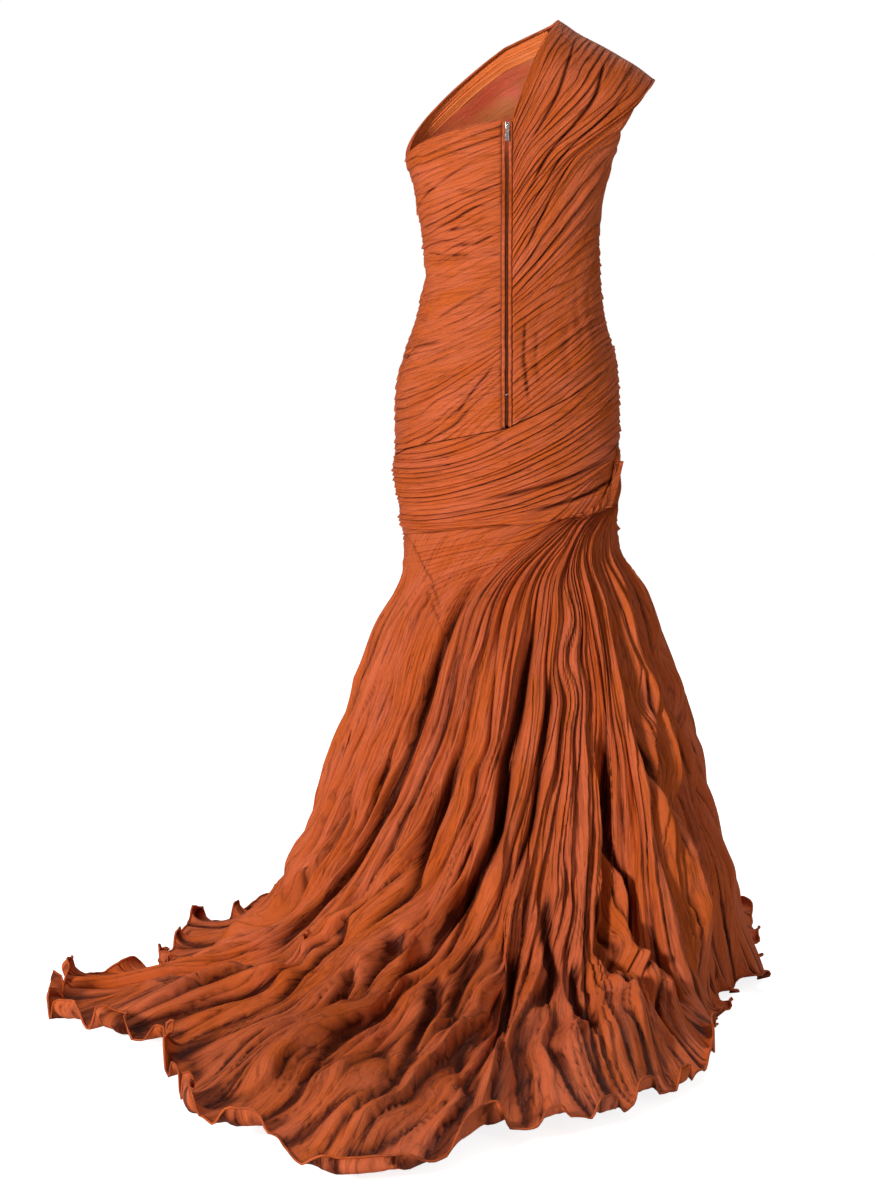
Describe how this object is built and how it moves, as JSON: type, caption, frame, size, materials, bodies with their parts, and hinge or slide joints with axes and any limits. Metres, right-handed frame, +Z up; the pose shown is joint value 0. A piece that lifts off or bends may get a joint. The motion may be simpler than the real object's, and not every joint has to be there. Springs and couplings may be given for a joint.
{
  "type": "evening gown",
  "caption": "Long pleated one-shoulder evening gown with a wrapped hip, a flared skirt drawn into a train, and a back zip.",
  "frame": {"origin": "under the shoulder seam, where the wearer's right shoulder or a hanger carries the gown", "axes": "+Z up, -Y out of the gown's front, +Y towards its back and train, +X to the wearer's left"},
  "size_m": [1.1295, 1.5929, 1.5038],
  "materials": {
    "taffeta": "rust-orange shot taffeta, crushed into fine irregular pleats, with a soft satin sheen",
    "lining": "salmon satin lining",
    "zip_tape": "rust zip tape and nylon coil",
    "zip_metal": "dull nickel slider and pull"
  },
  "bodies": {
    "gown": {"back_bodice_left": "taffeta", "back_bodice_right": "taffeta", "front_bodice": "taffeta", "hip_wrap_back": "taffeta", "hip_wrap_front": "taffeta", "skirt_front": "taffeta", "skirt_drape": "taffeta", "skirt_back_left": "taffeta", "neckline_facing": "taffeta", "front_lining": "lining", "zip_tape_left": "zip_tape", "zip_tape_right": "zip_tape", "zip_coil": "zip_tape", "zip_lip_left": "taffeta", "zip_lip_right": "taffeta", "zip_slider": "zip_metal"},
    "zip_pull": {"zip_pull": "zip_metal"}
  },
  "joints": [
    {"name": "pull_swing", "type": "hinge", "parent": "gown", "child": "zip_pull", "pos_m": [0.158, 0.11209, -0.1196], "axis": [1, 0, 0], "range_deg": [0, 135]}
  ]
}
